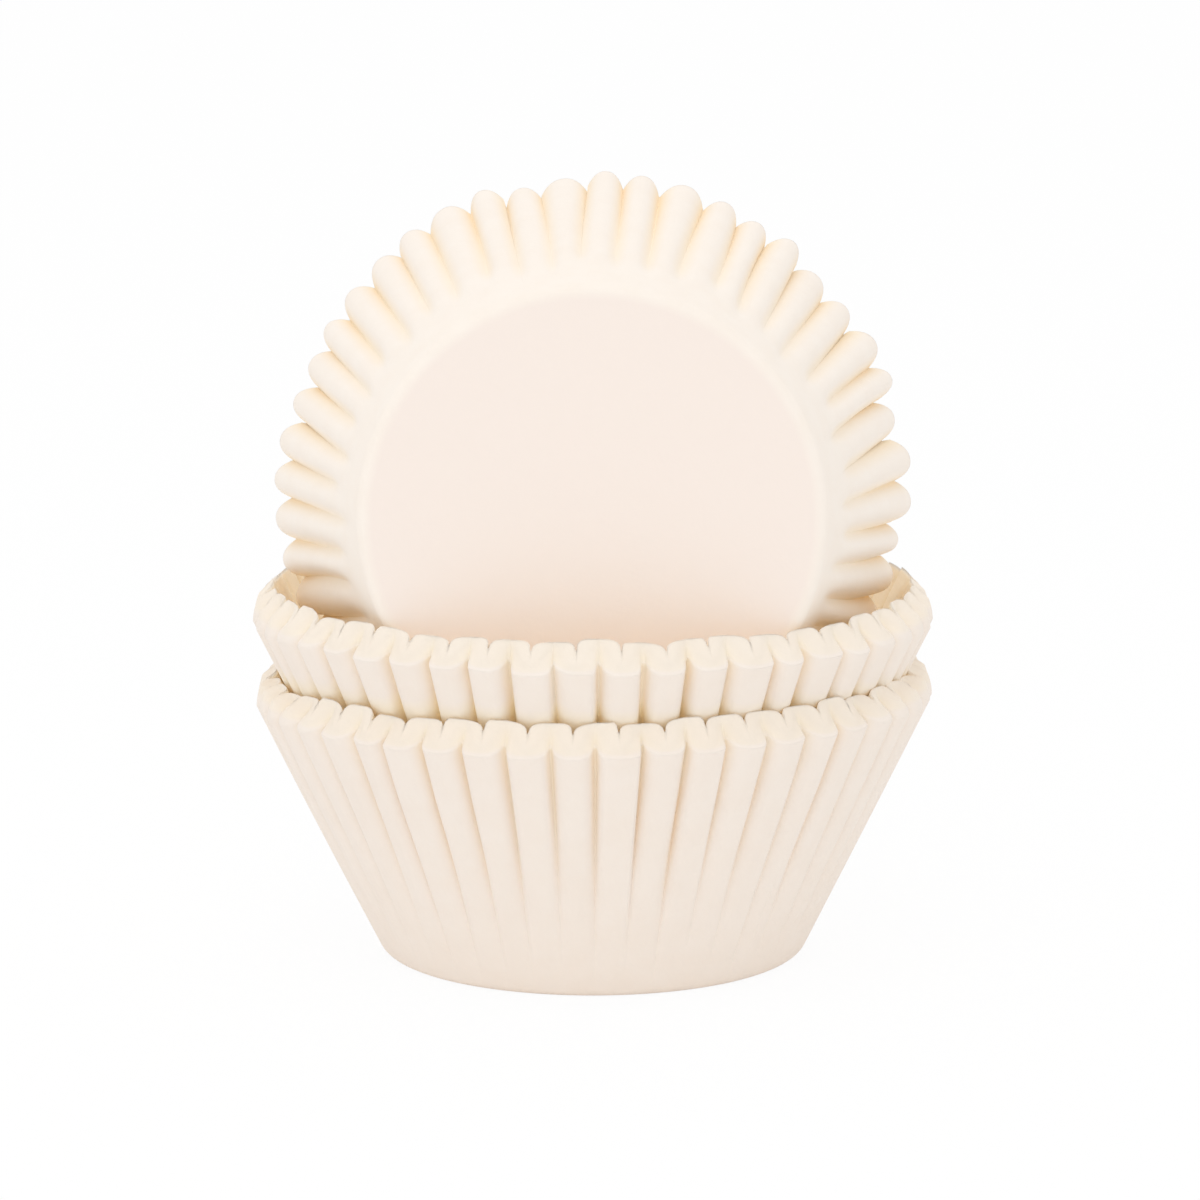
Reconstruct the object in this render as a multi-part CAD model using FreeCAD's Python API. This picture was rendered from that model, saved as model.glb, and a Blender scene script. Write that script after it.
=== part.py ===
"""Stack of cupcake liners in plain cream paper.

Two pressed bundles of pleated liners stand one in the other, the upper one held
by its wall in the mouth of the lower.  A single liner stands on its edge in the
upper bundle, with the outside of its flat base turned to the front.

Millimetres, +Z up, front at -Y.  The origin is the centre of the lower bundle's
base, on the surface that the stack stands on.
"""
import FreeCAD, Part
import math
import os

V = FreeCAD.Vector

# Form shared by the liners of a bundle: one disc of paper, pressed into pleats.
PLEATS = 48             # pleats round one liner
FLAT_R = 22.4           # flat part of the base
FOOT_R = 24.45          # crest radius where the rounded foot has become wall
FOOT_H = 1.9            # height of the rounded foot

# A pressed bundle of about two dozen liners.
RIM_R = 38.0            # crest radius of the outermost liner at its rim
RIM_H = 29.6            # height of that rim above the bundle's base
SLIT = 2.0              # depth of the slits between the outside faces, at the rim
SLIT_AT_FOOT = 0.35     # what is left of that depth at the foot
SLIT_RISE = 1.0         # the rim is this much higher in the slits
BAND = 4.15             # radial room that the pressed sheets take, from face to inner lobe
BAND_RISE = 3.5         # the inner lobes end this much higher than the outside faces
NOTCH = 1.5             # depth of the notches between the inner lobes, at the rim
NOTCH_AT_BASE = 0.3     # what is left of that depth at the inner base
NOTCH_RISE = 1.7        # rim height at the notches, above the outside faces
BASE_STACK = 2.0        # pressed thickness of all the bases

# Half a fold, from its middle outwards, as (share of the pitch, share of the depth).
FACE_FOLD = ((0.25, 0.0), (0.40, 0.28), (0.46, 1.0))    # ratios: face, then slit
LOBE_FOLD = ((0.03, 1.0), (0.12, 0.35), (0.30, 0.0))    # ratios: notch, then inner lobe
SINGLE_FOLD = ((0.16, 0.08), (0.33, 0.40), (0.47, 1.0)) # ratios: round lobe, then groove

# The upper bundle in the lower one.
NEST_CLEARANCE = 0.2    # between the upper crests and the lower bundle's inner lobes
LOWER_TURN = 4.16       # degrees from the front to the middle of the next face
UPPER_TURN = 4.92       # degrees, the same for the upper bundle

# The single liner that stands on its edge.
WALL_SLANT = 33.0       # length of its wall, from the foot to the rim
SINGLE_FLAT_R = 24.3    # its base is a little wider, because nothing squeezes it
SINGLE_FOOT_R = 25.2
SINGLE_FOOT_H = 1.2
SINGLE_RIM_R = 35.4     # it stands less wide open than the bundles
SINGLE_PLEAT = 1.9      # depth of its pleats at the rim
SINGLE_PLEAT_AT_FOOT = 0.25
SINGLE_RISE = 0.5       # its rim is this much longer in the grooves
PAPER = 0.28            # its wall as modelled
FLANK_SET = 0.055       # share of the pitch that the wall takes on a flank
LEAN_BACK = 3.7         # degrees that its base looks up
LEAN_TURN = 1.8         # degrees that its pleats are turned
BASE_FRONT = 26.1       # its base stands this far in front of the axis
SEAT_CLEARANCE = 0.3    # between its crests and the upper bundle's inner lobes

PITCH = 2 * math.pi / PLEATS
SLOPE = (RIM_R - FOOT_R) / (RIM_H - FOOT_H)
NEST_RISE = (BAND + NEST_CLEARANCE) / SLOPE
SINGLE_HEIGHT = math.sqrt(WALL_SLANT ** 2 - (SINGLE_RIM_R - SINGLE_FOOT_R) ** 2)
SINGLE_SLOPE = (SINGLE_RIM_R - SINGLE_FOOT_R) / (SINGLE_HEIGHT - SINGLE_FOOT_H)


def ring(half, turn):
    """Points round the axis from half a pleat, given as (share of the pitch, radius, height)."""
    pleat = [(-u, r, z) for u, r, z in reversed(half)] + list(half)
    points = []
    for i in range(PLEATS):
        for u, r, z in pleat:
            a = (i + u) * PITCH - math.pi / 2 + math.radians(turn)
            points.append(V(r * math.cos(a), r * math.sin(a), z))
    return points


def facet(*corners):
    return Part.Face(Part.makePolygon(list(corners) + [corners[0]]))


def band(a, b, half):
    """Flat facets between two rings, with the diagonals mirrored about each pleat's middle."""
    faces = []
    count = len(a)
    for i in range(count):
        j = (i + 1) % count
        if i % (2 * half) < half:
            faces += [facet(a[i], a[j], b[j]), facet(a[i], b[j], b[i])]
        else:
            faces += [facet(a[i], a[j], b[i]), facet(a[j], b[j], b[i])]
    return faces


def closed_solid(rings, turn):
    """Solid from ring to ring, with a flat face on the first and the last ring."""
    half = len(rings[0])
    loops = [ring(r, turn) for r in rings]
    faces = [facet(*loops[0]), facet(*loops[-1])]
    for a, b in zip(loops, loops[1:]):
        faces += band(a, b, half)
    shell = Part.Shell(faces)
    shell.sewShape()
    solid = Part.Solid(shell)
    if solid.Volume < 0:
        solid.reverse()
    return solid


def outside(fold, crest, depth, z, rise=0.0):
    """Half a pleat seen from outside: face, shoulder, bottom of the groove."""
    return [(u, crest - k * depth, z + k * rise) for u, k in fold]


def foot_middle(flat, foot, height, slope):
    """Radius and height halfway round a foot that leaves the ground and ends in the wall."""
    corner = foot - height * slope
    return (flat + 2 * corner + foot) / 4, height / 4


def inside_bundle(lobe, depth, z_lobe, z_notch):
    """Half a pleat seen from inside a bundle: notch, its side, start of the lobe."""
    return [(u, lobe + k * depth, z_lobe + k * (z_notch - z_lobe)) for u, k in LOBE_FOLD]


def inside_single(crest, depth, z, rise=0.0):
    """Half a pleat of one sheet seen from inside, one sheet away from outside()."""
    return [(u - FLANK_SET, crest - PAPER - k * depth, z + k * rise) for u, k in SINGLE_FOLD]


def crest_at(z):
    """Crest radius of a bundle's outermost liner at height z."""
    return FOOT_R + (z - FOOT_H) * SLOPE


def bundle(turn):
    """Pressed liners as one solid, from ring to ring: out, up, over and in."""
    top = RIM_H + BAND_RISE
    middle_r, middle_h = foot_middle(FLAT_R, FOOT_R, FOOT_H, SLOPE)
    rings = [
        outside(FACE_FOLD, FLAT_R, 0.0, 0.0),
        outside(FACE_FOLD, middle_r, SLIT_AT_FOOT / 4, middle_h),
        outside(FACE_FOLD, FOOT_R, SLIT_AT_FOOT, FOOT_H),
        outside(FACE_FOLD, RIM_R, SLIT, RIM_H, SLIT_RISE),
        inside_bundle(crest_at(top) - BAND, NOTCH, top, RIM_H + NOTCH_RISE),
        inside_bundle(crest_at(BASE_STACK) - BAND, NOTCH_AT_BASE, BASE_STACK, BASE_STACK),
    ]
    return closed_solid(rings, turn)


def single_liner():
    """One liner in its own frame, standing on its base."""
    middle_r, middle_h = foot_middle(SINGLE_FLAT_R, SINGLE_FOOT_R, SINGLE_FOOT_H, SINGLE_SLOPE)
    rings = [
        outside(SINGLE_FOLD, SINGLE_FLAT_R, 0.0, 0.0),
        outside(SINGLE_FOLD, middle_r, SINGLE_PLEAT_AT_FOOT / 4, middle_h),
        outside(SINGLE_FOLD, SINGLE_FOOT_R, SINGLE_PLEAT_AT_FOOT, SINGLE_FOOT_H),
        outside(SINGLE_FOLD, SINGLE_RIM_R, SINGLE_PLEAT, SINGLE_HEIGHT, SINGLE_RISE),
        inside_single(SINGLE_RIM_R, SINGLE_PLEAT, SINGLE_HEIGHT, SINGLE_RISE),
        inside_single(SINGLE_FOOT_R, SINGLE_PLEAT_AT_FOOT, SINGLE_FOOT_H),
        inside_single(middle_r, SINGLE_PLEAT_AT_FOOT / 4, middle_h + PAPER / 2),
        inside_single(SINGLE_FLAT_R, 0.0, PAPER),
    ]
    return closed_solid(rings, LEAN_TURN)


def seat_height(radius, along):
    """Lowest height of the single liner's base centre for one of its rings.

    The ring lies the distance along behind the base, and every point of it has to
    be inside the inner lobes of the upper bundle, or above their top.
    """
    lean = math.radians(LEAN_BACK)
    y = along * math.cos(lean) - BASE_FRONT
    top = NEST_RISE + RIM_H + BAND_RISE + SEAT_CLEARANCE
    heights = []
    for degree in range(91):
        down = radius * math.cos(math.radians(degree))
        side = radius * math.sin(math.radians(degree))
        reach = math.hypot(side, y - down * math.sin(lean)) + SEAT_CLEARANCE
        wall = NEST_RISE + FOOT_H + (reach + BAND - FOOT_R) / SLOPE
        heights.append(min(wall, top) + down * math.cos(lean))
    return max(heights) + along * math.sin(lean)


def main():
    lower = bundle(LOWER_TURN)
    upper = bundle(UPPER_TURN)
    upper.translate(V(0, 0, NEST_RISE))
    leaning = single_liner()
    leaning.rotate(V(0, 0, 0), V(1, 0, 0), -90 - LEAN_BACK)
    middle = foot_middle(SINGLE_FLAT_R, SINGLE_FOOT_R, SINGLE_FOOT_H, SINGLE_SLOPE)
    rings = ((SINGLE_FLAT_R, 0.0), middle, (SINGLE_FOOT_R, SINGLE_FOOT_H), (SINGLE_RIM_R, SINGLE_HEIGHT))
    seats = [seat_height(radius, along) for radius, along in rings]
    leaning.translate(V(0, -BASE_FRONT, max(seats)))
    print("base centre height for each ring of the single liner:", seats)
    os.makedirs("parts", exist_ok=True)
    nodes = {"lower_bundle": lower, "upper_bundle": upper, "leaning_liner": leaning}
    for name, shape in nodes.items():
        shape.exportStep("parts/" + name + ".step")
        box = shape.BoundBox
        print(name, shape.ShapeType, shape.isValid(), "volume %.0f" % shape.Volume,
              "x %.1f..%.1f y %.1f..%.1f z %.1f..%.1f" % (
                  box.XMin, box.XMax, box.YMin, box.YMax, box.ZMin, box.ZMax))


main()
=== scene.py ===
# %% [markdown]
# # A stack of cupcake liners
#
# Two pressed bundles of pleated paper liners stand one in the other, and a single
# liner stands on its edge in the upper bundle, with its flat base to the front.
# The plain solids come from the CAD model.  This script works out the same forms
# finely enough to show the soft folds of paper, gives them their material, and
# sets the light and the camera.

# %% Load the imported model
import math
import bpy
import numpy as np
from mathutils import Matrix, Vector


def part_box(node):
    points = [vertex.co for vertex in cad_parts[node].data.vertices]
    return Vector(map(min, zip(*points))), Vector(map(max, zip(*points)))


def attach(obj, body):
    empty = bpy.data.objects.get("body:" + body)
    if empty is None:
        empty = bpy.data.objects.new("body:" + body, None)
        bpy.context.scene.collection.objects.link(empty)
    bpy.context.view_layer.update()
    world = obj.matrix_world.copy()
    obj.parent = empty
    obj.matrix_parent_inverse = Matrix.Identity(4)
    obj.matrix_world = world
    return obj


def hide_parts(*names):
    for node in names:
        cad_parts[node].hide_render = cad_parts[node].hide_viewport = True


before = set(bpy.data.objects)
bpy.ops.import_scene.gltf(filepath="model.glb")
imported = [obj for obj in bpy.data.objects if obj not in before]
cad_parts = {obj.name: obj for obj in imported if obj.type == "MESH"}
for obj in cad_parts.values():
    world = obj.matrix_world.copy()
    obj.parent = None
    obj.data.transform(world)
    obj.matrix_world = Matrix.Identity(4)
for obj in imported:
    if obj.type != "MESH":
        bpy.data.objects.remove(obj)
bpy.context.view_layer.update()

MM = 0.001

# %% [markdown]
# ## Sizes
#
# The sizes are those of the CAD solids, in millimetres.  A liner is a flat base, a
# small rounded foot and a wall that leans out, and the wall's extra paper is laid
# in 48 pleats.  The height of the upper bundle is read from its CAD box.

# %% Sizes in millimetres
PLEATS = 48
PITCH = 2 * math.pi / PLEATS
FLAT_R = 22.4                   # flat part of the base
FOOT_R, FOOT_H = 24.45, 1.9     # where the rounded foot has become wall
RIM_R, RIM_H = 38.0, 29.6       # outer edge of the rim
BAND, BAND_RISE = 4.15, 3.5     # how far in the pressed sheets reach, and how far up
FACE_STACK = 2.1                # the flat sheets behind one face take this much of BAND
FOLD_DEPTH = BAND - FACE_STACK  # and the folds beside it take the rest
BASE_STACK = 2.0                # thickness of all the bases
SLOPE = (RIM_R - FOOT_R) / (RIM_H - FOOT_H)

nest_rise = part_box("upper_bundle")[0][2] / MM
print("upper bundle stands", round(nest_rise, 2), "mm above the lower one")


def crest_at(z):
    """Crest radius of a bundle's outermost liner: a straight line from foot to rim."""
    return FOOT_R + (z - FOOT_H) * SLOPE


def smooth(x):
    """Smooth step: 0 below 0, 1 above 1, and 3x^2 - 2x^3 between."""
    x = np.clip(x, 0.0, 1.0)
    return x * x * (3 - 2 * x)


# %% [markdown]
# ## How pleats are drawn
#
# A machine presses the pleats, so they are nearly alike, but paper springs back a
# little differently in each.  Every groove therefore gets its own small shift,
# sway, depth and end, from a generator with a fixed seed.  The columns of the grid
# are spaced closely at the grooves, and again at the middle of each pleat, because
# a groove of the outside is a lobe of the inside and the other way round.

# %% Columns of the grid, and each groove's own habit
SIDE = np.array([0.004, 0.022, 0.05, 0.09, 0.15, 0.23, 0.32, 0.41, 0.465, 0.492])
ACROSS = np.concatenate([SIDE, 1 - SIDE[::-1]])
COLUMNS = len(ACROSS)


SWAY = 0.026    # typical sideways sway of a groove, in pitches


def groove_habits(seed, shift, sway):
    """Per groove: how far it strays, its depth, end and width, and how its paper curls.

    shift and sway are standard deviations in pitches.
    """
    rng = np.random.default_rng(seed)
    return {
        "shift": rng.normal(0, shift, PLEATS),
        "sway": rng.normal(0, sway, PLEATS),
        "phase": rng.uniform(0, 2 * math.pi, PLEATS),
        "depth": 1 + rng.normal(0, 0.07, PLEATS),
        "fade": rng.uniform(0.0, 1.0, PLEATS),
        "width": rng.uniform(0.55, 1.35, PLEATS),
        "lean": rng.normal(0, 0.5, PLEATS),
        "edge": rng.normal(0, 1.0, PLEATS),
        "skew": rng.normal(0, 1.0, PLEATS),
        "curl": rng.uniform(-1.0, 1.0, PLEATS),
    }


def pleat_angles(habits, v, turn):
    """Angle of each column at each height v.

    Groove j lies at (j - 1/2 + shift + sway sin(3.3 v + phase)) pitches, and the
    columns of pleat j are shared out between groove j and groove j + 1.
    """
    j = np.arange(PLEATS)
    v = np.atleast_1d(v)[:, None]
    groove = j - 0.5 + habits["shift"] + habits["sway"] * np.sin(3.3 * v + habits["phase"])
    following = np.roll(groove, -1, axis=1)
    following[:, -1] += PLEATS
    share = groove[:, :, None] + ACROSS * (following - groove)[:, :, None]
    return share.reshape(len(v), -1) * PITCH - math.pi / 2 + math.radians(turn)


def by_groove(values):
    """A value per column, taken from the nearer groove of its pleat."""
    left = np.repeat(values[:, None], COLUMNS // 2, axis=1)
    right = np.repeat(np.roll(values, -1)[:, None], COLUMNS // 2, axis=1)
    return np.concatenate([left, right], axis=1).ravel()


def by_pleat(values):
    """A value per column that is the same all over one pleat."""
    return np.repeat(values, COLUMNS)


FROM_GROOVE = np.tile(np.minimum(ACROSS, 1 - ACROSS), PLEATS)
SIDE_OF_GROOVE = np.tile(np.where(ACROSS < 0.5, 1.0, -1.0), PLEATS)
ACROSS_FACE = np.tile(2 * ACROSS - 1, PLEATS)


def shoulder(distance, half_width, rounding, soft):
    """1 in the groove, then a rounded side that ends level with the face.

    x = (distance - half_width) / rounding.  The side is a quarter ellipse,
    1 - sqrt(1 - (1 - x)^2), mixed by the share soft with the slacker (1 - x)^1.5.
    """
    x = np.clip((distance - half_width) / rounding, 0.0, 1.0)
    ellipse = 1 - np.sqrt(np.clip(1 - (1 - x) ** 2, 0.0, 1.0))
    return (1 - soft) * ellipse + soft * (1 - x) ** 1.5


print(PLEATS, "pleats,", PLEATS * COLUMNS, "columns round")

# %% [markdown]
# ## From rings of points to a mesh
#
# Each piece is one closed skin.  It starts at the middle of the underside, goes
# out over the base, up the outside, over the rim, down the inside, and ends in
# the middle of the inner base.  Each step of that path is one ring of points, so
# the whole piece is a grid of rings and columns, closed by a point at each end.

# %% One function that turns rings into a closed mesh


def skin(name, rings, bottom, top, groove, path):
    """Mesh from rings shaped (row, column, xyz), with a pole at each end, in mm.

    Each ring is joined to the next by quads that run once round the axis.  groove,
    the share of painted shade, is kept as a point attribute, and UV is (share of the
    way round, path length in decimetres).
    """
    rows, cols = rings.shape[:2]
    points = np.concatenate([rings.reshape(-1, 3), [bottom, top]]) * MM
    r = np.arange(rows - 1)[:, None] * cols
    c = np.arange(cols)[None, :]
    d = (c + 1) % cols
    quads = np.stack([r + c, r + d, r + cols + d, r + cols + c], -1).reshape(-1, 4)
    c, d = c[0], d[0]
    low_fan = np.stack([d, c, np.full(cols, rows * cols)], -1)
    last = (rows - 1) * cols
    high_fan = np.stack([last + c, last + d, np.full(cols, rows * cols + 1)], -1)
    corners = np.concatenate([quads.ravel(), low_fan.ravel(), high_fan.ravel()])
    totals = np.concatenate([np.full(len(quads), 4), np.full(2 * cols, 3)])
    mesh = bpy.data.meshes.new(name)
    mesh.vertices.add(len(points))
    mesh.vertices.foreach_set("co", points.ravel())
    mesh.loops.add(len(corners))
    mesh.loops.foreach_set("vertex_index", corners.astype(np.int32))
    mesh.polygons.add(len(totals))
    starts = np.concatenate([[0], np.cumsum(totals)[:-1]])
    mesh.polygons.foreach_set("loop_start", starts.astype(np.int32))
    mesh.update(calc_edges=True)
    mesh.validate()
    mesh.polygons.foreach_set("use_smooth", np.ones(len(totals), bool))
    values = np.concatenate([groove.ravel(), [0.0, 0.0]]).astype(np.float32)
    mesh.attributes.new("groove", "FLOAT", "POINT").data.foreach_set("value", values)
    way = np.concatenate([path.ravel(), [path[0, 0], path[-1, 0]]])
    uv = mesh.uv_layers.new(name="sheet")
    column = np.where(corners < rows * cols, corners % cols, 0) / cols
    closing = np.concatenate([np.tile([False, True, True, False], len(quads)),
                              np.zeros(6 * cols, bool)])
    column = np.where(closing & (column == 0), 1.0, column)
    pairs = np.stack([column, way[corners] / 100.0], -1)
    uv.data.foreach_set("uv", pairs.astype(np.float32).ravel())
    obj = bpy.data.objects.new(name, mesh)
    bpy.context.scene.collection.objects.link(obj)
    print(name, "triangles:", 2 * len(quads) + 2 * cols)
    return obj


def path_length(radius, z):
    """Length walked from the first ring to each ring, column by column."""
    step = np.hypot(np.diff(radius, axis=0), np.diff(z, axis=0))
    return np.concatenate([np.zeros((1, radius.shape[1])), np.cumsum(step, axis=0)])


def in_place(radius, angle, z, centre_z=0.0):
    """Cylinder coordinates to x, y, z."""
    return np.stack([radius * np.cos(angle), radius * np.sin(angle), z + centre_z], -1)


# %% [markdown]
# ## A pressed bundle
#
# About two dozen liners are pressed into each other.  From outside only the
# outermost sheet shows: flat faces with narrow slits between them, which close
# towards the foot.  From inside it is the other way round: broad lobes with thin
# notches.  Between the two lies the rim band, where the edges of all the sheets
# lie side by side.
#
# A slit that is a sharp cut in the outermost sheet grows into a broad lobe on the
# inside, sheet by sheet, while the faces lie flat on each other and shrink to
# narrow notches.  Halfway in, the edge is an even wave; at the inside the lobes
# push each other flat, so their outline is a superellipse.  The edge of each sheet
# stands a little higher than the one before it, and the innermost edges roll down
# again, which gives the rim its slanted outer side with a round top.  Each face is
# rounded more on the side that is nearer to the front of the stack.  At the two
# sides of the stack the outer edges are bent down a little and the rim is rounder.
# The lower bundle's rim is not quite level: it is a little higher on the right and
# pushed in on the left.

# %% How the edges of the sheets lie on the rim
FACE_RISE, SIDE_RISE = 2.0, 2.8     # rise of the faces' edges, in front and at the sides
SLIT_RISE = 1.0                     # the outermost edge is this much higher in a slit
SIDE_DROP = 0.8                     # and bent down by this much at the sides


def lobe(half, power):
    """Outline of a fold, 1 in its middle and 0 at half: (1 - (d / half)^p)^(1/p)."""
    return np.clip(1 - (FROM_GROOVE / half) ** power, 0, None) ** (1 / power)


def rim_height(w, share, side, swell):
    """Height of the edge of sheet w, 0 the outermost, over the CAD rim's outer edge.

    share is 0 in the middle of a face and 1 in a fold; side is 1 at the sides of
    the stack, where the edge is bent down, and swell is how much it gains there.
    A face rises as 1.25 w - 0.25 w^2, at the sides as the quarter circle
    sqrt(w (2 - w)), and a fold as the mean of w and sin(w pi / 2).
    """
    in_front = FACE_RISE * w * (1.25 - 0.25 * w)
    at_side = SIDE_RISE * math.sqrt(w * (2 - w))
    face = in_front * (1 - side) + at_side * side
    climb = 0.5 * math.sin(w * math.pi / 2) + 0.5 * w
    fold = SLIT_RISE + (BAND_RISE - SLIT_RISE + swell * side) * climb
    return face + (fold - face) * share - SIDE_DROP * side


def rim_radius(w, z, inward):
    """Radius of sheet w: RIM_R, plus w times what the cone gains above the rim, less inward.

    So the outer sheets stand up straight above the rim, and the inner ones follow
    the cone.
    """
    return RIM_R + SLOPE * np.clip(z - RIM_H, -1.0, BAND_RISE) * w - inward


# %% Shape of a pressed bundle
BASE_RINGS = (5.0, 12.0, 18.0, 21.2)    # radii on the flat base
FOOT_ARC_R = 1.8                        # the foot is an arc of this radius
FOOT_ARC = math.radians(63.9)           # that ends as steep as the wall
SLIT_FROM, SLIT_LATER = 0.02, 0.26      # share of the wall's height where the slits start
SLIT_AT_FOOT, SLIT_GAIN = 0.12, 1.75    # depth near the foot, and what it gains to the rim
SLIT_HALF = 0.039                       # half its width at the rim, in pitches
FACE_CROWN = 0.42                       # a face's middle stands this much before its sides
FACE_TILT = 0.36                        # and one side before the other by about as much
LIP = 0.10                              # height of the pinched edge beside a slit
SIDE_BEGINS = 0.74                      # share of the half width where a side begins
SIDE_PUSH = 0.15                        # the outer edges are pushed in by this at a side
LOBE_UNEVEN = 0.22                      # typical difference in height between the lobes
EDGE_UNEVEN = 0.10                      # and between the outer edges of the faces
SHEET_EDGES, EDGE_STEP = 15, 0.05       # edges that show on the rim, and their height
INNER_ROLL = 0.20                       # the innermost edges roll down by this much
NOTCH_AT_BASE = 0.3                     # what is left of a notch at the inner base
INNER_CORNER_H = 2.4                    # where the inner wall meets the inner base
INNER_BASE = ((19.3, 2.1), (17.0, 2.0), (11.0, 2.0), (4.0, 2.0))    # radius, height


def bundle_rings(seed, turn, sunk, swell, squeeze, tilted):
    """All rings of one bundle, as radius, angle, z and groove arrays.

    sunk is the share of its wall that sits in the bundle below, where warm shade is
    painted on.  swell is how much higher its lobes are at the sides of the stack,
    squeeze is how much less it reaches out at the left, and tilted is how much its rim
    rises from the middle to the right.
    """
    h = groove_habits(seed, shift=0.028, sway=SWAY)
    half = SLIT_HALF * by_groove(h["width"])
    depth = by_groove(h["depth"])
    none = 0 * depth
    start = SLIT_FROM + SLIT_LATER * by_groove(h["fade"]) ** 2
    lean = by_pleat(h["lean"])
    edge = by_pleat(h["edge"])
    skew = 0.14 * by_groove(h["skew"]).clip(-1.6, 1.6) * SIDE_OF_GROOVE
    angle_top = pleat_angles(h, 1.0, turn)[0]
    across = np.cos(angle_top)      # share of the half width: -1 at the left, 1 at the right
    curl = (by_groove(h["curl"]) * 0.65 + 0.45 * across) * SIDE_OF_GROOVE
    twist = by_pleat(h["phase"])

    def outer_drop(v):
        """How far a point of the outside lies in from the crest cone at height share v.

        In the slit it is the depth, which grows as v^0.8.  From there it falls to
        the face along shoulder(), steeper towards the rim, and softer on the side
        that curls.  The face drops to its sides as the square of the way from its
        middle, tilts by a straight line, and has a bell-shaped lip beside the slit
        on the side that doesn't curl.
        """
        opened = smooth((v - start) / 0.60)
        begun = smooth((v - start + 0.10) / 0.20)
        deep = (SLIT_AT_FOOT + SLIT_GAIN * v ** 0.8) * depth * (0.35 + 0.65 * opened) * begun
        width = half * opened * v + 0.003
        rounding = 0.42 - 0.25 * smooth(v / 0.9) + 0.07 * smooth((v - 0.75) / 0.25)
        slack = 0.4 * (1 - smooth((v - 0.40) / 0.45))
        fall = shoulder(FROM_GROOVE, width, rounding * (1 + curl.clip(-0.7, 0.9)), slack)
        tilt = FACE_TILT * v * lean * np.cos(twist - 1.6 * v) * ACROSS_FACE
        face = np.maximum(FACE_CROWN * v * ACROSS_FACE ** 2 + tilt, -0.05)
        bell = np.exp(-((FROM_GROOVE - width - 0.07) / 0.045) ** 2)
        lip = LIP * np.clip(-curl, 0, 1) * bell * smooth(v / 0.3) * smooth((1.02 - v) / 0.1)
        return fall * deep + (face - lip) * (1 - fall)

    # Each row of points is radius, height, groove value and height share.
    rows = []
    for r in BASE_RINGS:
        rows.append((r + none, none, none, 0.0))
    for t in np.linspace(0.0, 1.0, 7):
        r = FLAT_R + FOOT_ARC_R * math.sin(t * FOOT_ARC)
        z = FOOT_ARC_R * (1 - math.cos(t * FOOT_ARC))
        rows.append((r + none, z + none, none, 0.0))
    foot_r, foot_z = rows[-1][:2]
    side = smooth((np.abs(across) - SIDE_BEGINS) / (1 - SIDE_BEGINS))
    taller = LOBE_UNEVEN * by_groove(h["sway"]) / SWAY
    pushed = (SIDE_PUSH + squeeze * (across < 0)) * side
    level = tilted * across
    top_share = np.clip(outer_drop(1.0) / FOLD_DEPTH, 0, 1)
    top_z = RIM_H + level + rim_height(0.0, top_share, side, swell) + EDGE_UNEVEN * edge
    for v in np.concatenate([np.linspace(0.03, 0.9, 28), [0.94, 0.97, 0.99, 1.0]]):
        drop = outer_drop(v)
        z = foot_z + v * (top_z - foot_z)
        crest = foot_r + v * (RIM_R - foot_r)
        # Painted shade: the slits take the fold colour by their depth, and the wall that sits in
        # the bundle below takes more, fading out near where it comes out above that rim.
        painted_shade = 0.18 * drop + 0.45 * smooth((sunk - v) / 0.10)
        rows.append((crest - pushed * v ** 2 - drop, z, painted_shade, v))
    # From sheet to sheet, the slit's own shape goes over into a wave and then into tight lobes.
    wave = 0.5 + 0.5 * np.cos(2 * math.pi * FROM_GROOVE)
    tight = lobe(0.494, 4.2)
    first_notch = 0.24 + 0.18 * by_pleat(h["width"])
    for k in range(1, 2 * SHEET_EDGES + 1):
        w = k / (2 * SHEET_EDGES)
        new, tightened = smooth(w / 0.5), smooth((w - first_notch) / 0.50)
        share = (1 - tightened) * wave ** (1.6 - 0.9 * w) + tightened * tight
        share = share * (1 + w * skew * FROM_GROOVE / 0.5)
        share = np.clip((1 - new) * top_share + new * share, 0, 1)
        inward = w * FACE_STACK + FOLD_DEPTH * share + pushed * (1 - w)
        ends = smooth(w / 0.15) * smooth((1 - w) / 0.12)
        step = EDGE_STEP * (k % 2) * ends * (1 - 0.7 * side)
        roll = -INNER_ROLL * smooth((w - 0.75) / 0.25) ** 2
        uneven = EDGE_UNEVEN * edge * (1 - w)
        z = RIM_H + rim_height(w, share, side, swell) + step + roll + uneven
        z = z + w * share * taller.clip(-0.45, 0.30)
        # Painted shade on the rim band: warm in the folds beside the outer edge, and a little
        # over the edges of the inner sheets.
        painted_shade = 0.25 * top_share * (1 - w) ** 2 + 0.20 * smooth(w / 0.2)
        rows.append((rim_radius(w, z, inward), z + level, painted_shade, 1.0))
    inner_top = rows[-1][1]
    for v in 1 - np.concatenate([[0.015], np.linspace(0.06, 1.0, 13)]):
        notch = NOTCH_AT_BASE + (FOLD_DEPTH - NOTCH_AT_BASE) * v ** 0.8
        share = np.clip(tight * (1 + v * skew * FROM_GROOVE / 0.5), 0, 1)
        z = INNER_CORNER_H + v * (inner_top - INNER_CORNER_H)
        beyond = SLOPE * (np.clip(z - level * v - RIM_H - BAND_RISE, 0, None) + level * v)
        r = crest_at(z) - beyond - BAND + notch * (1 - share)
        # Painted shade inside the bundle: the inner wall takes much of the fold colour, more
        # towards the inner base.
        rows.append((r, z, 0.75 - 0.25 * v + none, v))
    # The inner base gets painted shade too.
    for r, z in INNER_BASE:
        rows.append((r + none, z + none, 0.3 + none, 0.0))
    radius = np.stack([r[0] for r in rows])
    z = np.stack([r[1] for r in rows])
    groove = np.stack([np.clip(r[2], 0, 1) for r in rows])
    angle = pleat_angles(h, np.array([r[3] for r in rows]), turn)
    return radius, angle, z, groove


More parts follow.
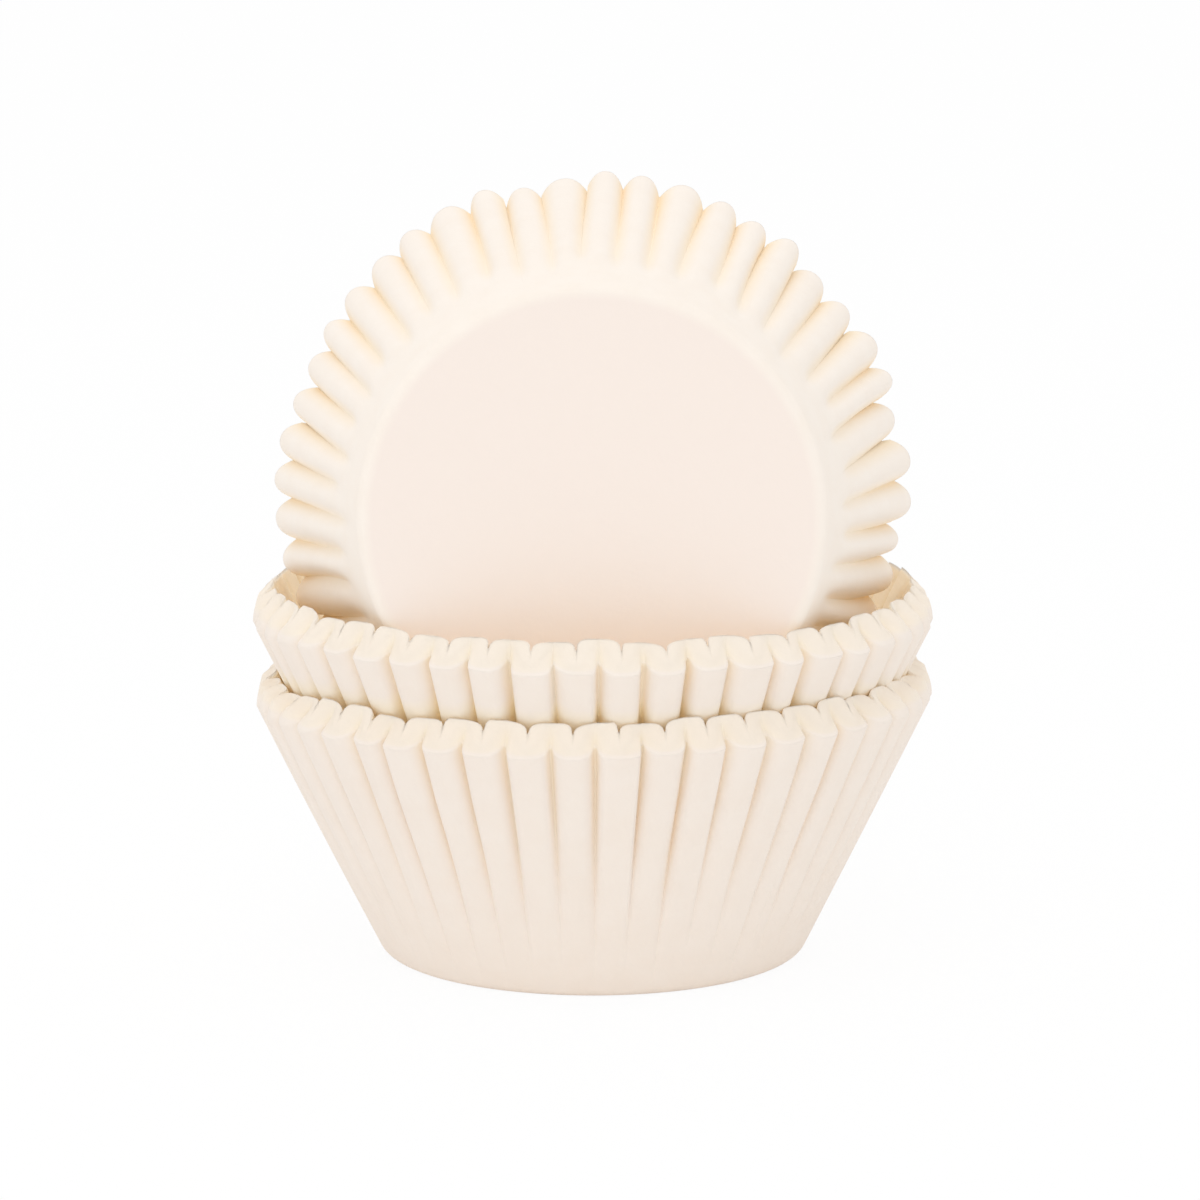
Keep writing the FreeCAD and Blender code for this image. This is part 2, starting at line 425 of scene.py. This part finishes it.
def make_bundle(name, seed, turn, rise, **habit):
    """One bundle as a mesh, turned by turn degrees and lifted by rise."""
    radius, angle, z, groove = bundle_rings(seed, turn, **habit)
    rings = in_place(radius, angle, z, rise)
    top = [0, 0, rise + BASE_STACK]
    return skin(name, rings, [0, 0, rise], top, groove, path_length(radius, z))


lower = make_bundle("lower_liners", 11, 4.16, 0.0,
                    sunk=0.0, swell=0.1, squeeze=0.30, tilted=0.55)
upper = make_bundle("upper_liners", 23, 4.92, nest_rise,
                    sunk=0.88, swell=0.8, squeeze=0.0, tilted=0.0)
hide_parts("lower_bundle")
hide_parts("upper_bundle")

# %% [markdown]
# ## The liner that stands on its edge
#
# A single sheet is softer than a bundle.  Its pleats are pinched at the rim, where
# round lobes touch each other, and they open into broad shallow folds that run out
# in the smooth band round the base.  The sheet is given a thin wall, with the
# inside following the outside, so that its rim shows an edge of paper.

# %% Shape of the single liner
SINGLE_RIM_R, WALL_SLANT = 35.4, 33.0
SINGLE_FLAT_R, SINGLE_FOOT_R, SINGLE_FOOT_H = 24.3, 25.2, 1.2
SINGLE_HEIGHT = math.sqrt(WALL_SLANT ** 2 - (SINGLE_RIM_R - SINGLE_FOOT_R) ** 2)
SINGLE_ARC_R = 1.3                          # its foot is an arc of this radius
PLEAT_AT_FOOT, PLEAT_GAIN = 0.30, 1.65      # depth near the foot, and what it gains
PLEAT_TILT = 0.16                           # a lobe leans to one side by about this much
FLARE = 0.42                                # and strays in or out by about this at the rim
RIM_UNEVEN = 0.10                           # height by which the rim goes up and down
PAPER = 0.20                                # its wall, thin enough to look like paper
# The single liner's inside is given painted shade: this share of the fold colour.
INSIDE_PAINTED_SHADE = 0.16                          # the inside takes this much of the fold colour


def single_rings(seed, turn):
    """All rings of the single liner, standing on its base."""
    h = groove_habits(seed, shift=0.035, sway=0.060)
    depth = by_groove(h["depth"])
    none = 0 * depth
    half = 0.012 * by_groove(h["width"])
    start = 0.16 * by_groove(h["fade"])
    lean = by_pleat(h["lean"])
    edge = by_pleat(h["edge"])
    lean_out = math.atan2(SINGLE_HEIGHT - SINGLE_FOOT_H, SINGLE_RIM_R - SINGLE_FOOT_R)

    def folds(v, sheet):
        """How far the sheet lies in from the crests; sheet is 1 on its inner side.

        With d as the distance from the groove in pitches, a lobe is (1 - 2 d)^p,
        a parabola that is pinched at the rim.  Further in the fold flattens into
        the wave (1/2 + 1/2 cos 2 pi d)^1.4, where it runs out above the foot.
        """
        grown = smooth((v - start) / 0.75)
        deep = (PLEAT_AT_FOOT + PLEAT_GAIN * v ** 0.9) * depth * smooth((v - start) / 0.27)
        distance = np.clip(FROM_GROOVE - half * grown - sheet * (0.050 - 0.012 * v), 0, 0.5)
        pinched = (1 - 2 * distance) ** (2.0 + 0.5 * v)
        wave = 0.5 + 0.5 * np.cos(2 * math.pi * distance)
        mixed = pinched * grown + wave ** 1.4 * (1 - grown)
        tilt = PLEAT_TILT * v * lean * ACROSS_FACE
        return mixed * deep + tilt * (1 - mixed) + sheet * PAPER

    def wall(v, sheet):
        """Radius and height at height share v: a straight cone that strays as v^3."""
        rim = SINGLE_HEIGHT + 0.30 * smooth(folds(1.0, 0.0) / 1.8) + RIM_UNEVEN * edge
        z = foot_z + v * (rim - foot_z)
        climb = (z - SINGLE_FOOT_H) / (SINGLE_HEIGHT - SINGLE_FOOT_H)
        cone = SINGLE_FOOT_R + climb * (SINGLE_RIM_R - SINGLE_FOOT_R)
        return cone + FLARE * edge.clip(-1.5, 0.6) * v ** 3 - folds(v, sheet), z

    rows = []
    for r in (6.0, 13.0, 19.0, 22.8):
        rows.append((r + none, none, none, 0.0))
    for t in np.linspace(0.0, 1.0, 8):
        r = SINGLE_FLAT_R - 0.4 + SINGLE_ARC_R * math.sin(t * lean_out)
        z = SINGLE_ARC_R * (1 - math.cos(t * lean_out))
        rows.append((r + none, z + none, none, 0.0))
    foot_z = rows[-1][1][0]
    steps = np.concatenate([np.linspace(0.03, 0.92, 34), [0.95, 0.975, 0.99, 1.0]])
    for v in steps:
        radius, z = wall(v, 0.0)
        # Painted shade in the single liner's folds, by their depth.
        rows.append((radius, z, folds(v, 0.0) / 2.2, v))
    for v in steps[::-1]:
        radius, z = wall(v, 1.0)
        rows.append((radius, z, INSIDE_PAINTED_SHADE + none, v))
    inner_foot = ((SINGLE_FOOT_R - 0.7, 1.0), (SINGLE_FLAT_R - 0.3, PAPER + 0.1))
    for r, z in inner_foot + ((19.0, PAPER), (13.0, PAPER), (6.0, PAPER)):
        rows.append((r + none, z + none, INSIDE_PAINTED_SHADE + none, 0.0))
    radius = np.stack([r[0] for r in rows])
    z = np.stack([r[1] for r in rows])
    groove = np.stack([np.clip(r[2], 0, 1) for r in rows])
    return radius, pleat_angles(h, np.array([r[3] for r in rows]), turn), z, groove


# %% [markdown]
# The liner is worked out standing on its base, and then tipped forward onto its
# edge: its axis lies back along +Y and a few degrees down, so that the base looks
# slightly up.  The turn is put into the points themselves, because a finished
# piece has its object at the origin, unturned.

# %% Tip the single liner onto its edge
LEAN_BACK, LEAN_TURN = 3.7, 1.8             # degrees
BASE_FRONT, BASE_CENTRE_H = 26.1, 53.08     # place of the middle of its base


def tip(points):
    """Turns points by -(90 + lean) degrees about X, then moves the base to its place."""
    a = -math.radians(90 + LEAN_BACK)
    x, y, z = points[..., 0], points[..., 1], points[..., 2]
    return np.stack([x, y * math.cos(a) - z * math.sin(a) - BASE_FRONT,
                     y * math.sin(a) + z * math.cos(a) + BASE_CENTRE_H], -1)


radius, angle, z, groove = single_rings(37, LEAN_TURN)
upright = in_place(radius, angle, z)
poles = tip(np.array([[0, 0, 0], [0, 0, PAPER]], float))
leaning = skin("leaning_sheet", tip(upright), poles[0], poles[1], groove, path_length(radius, z))
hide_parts("leaning_liner")

# %% [markdown]
# ## Paper
#
# Baking paper of this kind is unbleached-looking cream tissue that has been beaten
# until it is dense and greaseproof.  It is matt with a faint soft gloss and slightly
# mottled where the fibres lie thicker.  Where light would go back and forth between
# two sheets, as in the slits, between the bundles and inside the cups, a warm shade
# is painted into the colour.  The pattern scales come from real sizes:
# fibre clouds of a few millimetres and a fine tooth of about 0.3 mm.

# %% Paper material
BASE_ENDS, WALL_STARTS = 0.174, 0.184   # length of path, in decimetres, round the foot


def srgb(text):
    """Hex colour to linear red, green, blue and alpha."""
    c = np.array([int(text[i:i + 2], 16) for i in (1, 3, 5)]) / 255.0
    lin = np.where(c <= 0.04045, c / 12.92, ((c + 0.055) / 1.055) ** 2.4)
    return (float(lin[0]), float(lin[1]), float(lin[2]), 1.0)


def add(tree, kind, inputs=None, **settings):
    """Adds a node, sets its properties and its inputs; a socket as value makes a link."""
    node = tree.nodes.new(kind)
    for key, value in settings.items():
        setattr(node, key, value)
    for key, value in (inputs or {}).items():
        if isinstance(value, bpy.types.NodeSocket):
            tree.links.new(value, node.inputs[key])
        else:
            node.inputs[key].default_value = value
    return node


def baking_paper(name, face, cloud, fold, base, wavy):
    """Greaseproof baking paper: cream, matt, softly mottled, with warm shade painted into its
    folds.

    base is the colour of the flat base, where the path from the first ring, kept as
    V, is shorter than BASE_ENDS.  fold is the colour of the painted shade, mixed in by
    the groove attribute.  wavy is how uneven the sheet lies.
    """
    mat = bpy.data.materials.new(name)
    mat.use_nodes = True
    t = mat.node_tree
    t.nodes.clear()
    where = add(t, "ShaderNodeTexCoord").outputs["Object"]
    mm = add(t, "ShaderNodeMapping", {"Vector": where,
                                      "Scale": (1 / MM, 1 / MM, 1 / MM)}).outputs["Vector"]
    clouds = add(t, "ShaderNodeTexNoise", {"Vector": mm, "Scale": 0.28, "Detail": 4.0,
                                           "Roughness": 0.55})
    fibres = add(t, "ShaderNodeTexNoise", {"Vector": mm, "Scale": 2.6, "Detail": 3.0,
                                           "Roughness": 0.6})
    soft = add(t, "ShaderNodeMapRange", {"Value": clouds.outputs["Fac"], "From Min": 0.35,
                                         "From Max": 0.68, "To Min": 0.0, "To Max": 1.0})
    mottled = add(t, "ShaderNodeMix", {"Factor": soft.outputs["Result"], "A": srgb(face),
                                       "B": srgb(cloud)}, data_type="RGBA")
    sheet = add(t, "ShaderNodeUVMap", uv_map="sheet").outputs["UV"]
    along = add(t, "ShaderNodeSeparateXYZ", {"Vector": sheet}).outputs["Y"]
    on_wall = add(t, "ShaderNodeMapRange", {"Value": along, "From Min": BASE_ENDS,
                                            "From Max": WALL_STARTS, "To Min": 0.0,
                                            "To Max": 1.0}).outputs["Result"]
    paper = add(t, "ShaderNodeMix", {"Factor": on_wall, "A": srgb(base),
                                     "B": mottled.outputs["Result"]}, data_type="RGBA")
    # The groove attribute is painted shade: where it is high, the fold colour, a warm shade, is
    # mixed into the paper.
    painted_shade_value = add(t, "ShaderNodeAttribute", attribute_name="groove").outputs["Fac"]
    painted_shade_amount = add(t, "ShaderNodeMapRange", {"Value": painted_shade_value, "From Min": 0.08,
                                           "From Max": 0.9, "To Min": 0.0,
                                           "To Max": 1.0}).outputs["Result"]
    colour = add(t, "ShaderNodeMix", {"Factor": painted_shade_amount, "A": paper.outputs["Result"],
                                      "B": srgb(fold)}, data_type="RGBA")
    rough = add(t, "ShaderNodeMapRange", {"Value": fibres.outputs["Fac"], "From Min": 0.3,
                                          "From Max": 0.7, "To Min": 0.62, "To Max": 0.80})
    tooth = add(t, "ShaderNodeBump", {"Height": fibres.outputs["Fac"], "Strength": 0.06,
                                      "Distance": 0.0002})
    waves = add(t, "ShaderNodeBump", {"Height": clouds.outputs["Fac"], "Strength": wavy,
                                      "Distance": 0.0010, "Normal": tooth.outputs["Normal"]})
    shader = add(t, "ShaderNodeBsdfPrincipled", {"Base Color": colour.outputs["Result"],
                                                 "Roughness": rough.outputs["Result"],
                                                 "Normal": waves.outputs["Normal"], "IOR": 1.46,
                                                 "Specular IOR Level": 0.35})
    add(t, "ShaderNodeOutputMaterial", {"Surface": shader.outputs["BSDF"]})
    return mat


# fold is the warm shade colour painted into the slits, inside the cups and between the bundles.
pressed = baking_paper("pressed_baking_paper", face="#F6ECE2", cloud="#F5EADF",
                       fold="#FFF0C8", base="#F6ECE2", wavy=0.22)
single = baking_paper("single_sheet_baking_paper", face="#FAF1E7", cloud="#F9EFE4",
                      fold="#FCECD1", base="#F7EBE2", wavy=0.10)
for piece, mat in ((lower, pressed), (upper, pressed), (leaning, single)):
    piece.data.materials.append(mat)
    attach(piece, "root")

# %% [markdown]
# ## Light, floor and camera
#
# The photograph is a cut-out on white under broad soft light, as in a white photo
# tent.  The flat base, which faces the camera, is a little darker than the pleats
# round it, so the room is brighter above and behind than in front, and two weak
# lamps from the front open up the folds.  Pale paper passes light on from sheet to
# sheet, so the light may bounce ten times.  The floor is white to the camera and
# still takes a soft shadow.  The camera is where a long lens would stand: 603 mm
# from the middle of the stack and looking down by 10.6 degrees, found from the
# ellipses of the rims.

# %% Floor and surroundings
bpy.ops.mesh.primitive_plane_add(size=8.0, location=(0, 1.5, 0))
floor = bpy.context.object
floor.name = "floor"
white = bpy.data.materials.new("white_table")
white.use_nodes = True
t = white.node_tree
t.nodes.clear()
seen = add(t, "ShaderNodeLightPath")
glossy = add(t, "ShaderNodeMath", {0: seen.outputs["Is Camera Ray"],
                                   1: seen.outputs["Is Glossy Ray"]}, operation="MAXIMUM")
clear = add(t, "ShaderNodeMath", {0: glossy.outputs["Value"],
                                  1: seen.outputs["Is Transmission Ray"]}, operation="MAXIMUM")
matt = add(t, "ShaderNodeBsdfDiffuse", {"Color": srgb("#FBFBFB")})
bright = add(t, "ShaderNodeEmission", {"Color": (1, 1, 1, 1), "Strength": 1.0})
share = add(t, "ShaderNodeMath", {0: clear.outputs["Value"], 1: 0.92}, operation="MULTIPLY")
both = add(t, "ShaderNodeMixShader", {0: share.outputs["Value"], 1: matt.outputs["BSDF"],
                                      2: bright.outputs["Emission"]})
add(t, "ShaderNodeOutputMaterial", {"Surface": both.outputs["Shader"]})
floor.data.materials.append(white)

world = bpy.data.worlds.new("soft_room")
bpy.context.scene.world = world
world.use_nodes = True
t = world.node_tree
t.nodes.clear()
seen = add(t, "ShaderNodeLightPath")
heading = add(t, "ShaderNodeTexCoord").outputs["Generated"]
way = add(t, "ShaderNodeSeparateXYZ", {"Vector": heading}).outputs
from_above = add(t, "ShaderNodeMapRange", {"Value": way["Z"], "From Min": 0.0,
                                           "From Max": 1.0, "To Min": 0.80,
                                           "To Max": 0.94}).outputs["Result"]
from_behind = add(t, "ShaderNodeMapRange", {"Value": way["Y"], "From Min": -1.0,
                                            "From Max": 1.0, "To Min": 0.89,
                                            "To Max": 1.19}).outputs["Result"]
light = add(t, "ShaderNodeMath", {0: from_above, 1: from_behind}, operation="MULTIPLY")
room = add(t, "ShaderNodeBackground", {"Color": (1, 1, 1, 1), "Strength": light.outputs["Value"]})
seen_white = add(t, "ShaderNodeBackground", {"Color": (1, 1, 1, 1), "Strength": 1.0})
pick = add(t, "ShaderNodeMixShader", {0: seen.outputs["Is Camera Ray"],
                                      1: room.outputs["Background"],
                                      2: seen_white.outputs["Background"]})
add(t, "ShaderNodeOutputWorld", {"Surface": pick.outputs["Shader"]})

# %% Lamps


def soft_lamp(name, place, aim, size, watts):
    """A square area lamp at place, turned to aim, in metres."""
    data = bpy.data.lights.new(name, "AREA")
    data.size = size
    data.energy = watts
    lamp = bpy.data.objects.new(name, data)
    lamp.location = place
    lamp.rotation_euler = (Vector(aim) - Vector(place)).to_track_quat("-Z", "Y").to_euler()
    bpy.context.scene.collection.objects.link(lamp)
    return lamp


soft_lamp("key_from_front_above", (-0.16, -0.55, 0.84), (0, 0, 0.05), 0.70, 1.4)
soft_lamp("fill_from_front", (0.0, -0.95, 0.30), (0, 0, 0.05), 0.50, 0.40)

# %% Camera
F_PIXELS, IMAGE = 5409.0, 1200      # focal length and image width, in pixels
DISTANCE, ELEVATION = 0.603, math.radians(10.64)
AIM = Vector((0.00080, 0.0, 0.0395))
SENSOR = 36.0
camera_data = bpy.data.cameras.new("camera")
camera_data.sensor_width = SENSOR
camera_data.lens = SENSOR * F_PIXELS / IMAGE
camera = bpy.data.objects.new("camera", camera_data)
camera.location = AIM + Vector((0, -math.cos(ELEVATION), math.sin(ELEVATION))) * DISTANCE
camera.rotation_euler = (AIM - camera.location).to_track_quat("-Z", "Y").to_euler()
bpy.context.scene.collection.objects.link(camera)
bpy.context.scene.camera = camera
bpy.context.scene.view_settings.view_transform = "Standard"
bpy.context.scene.cycles.diffuse_bounces = 10  # pale folds pass light on many times

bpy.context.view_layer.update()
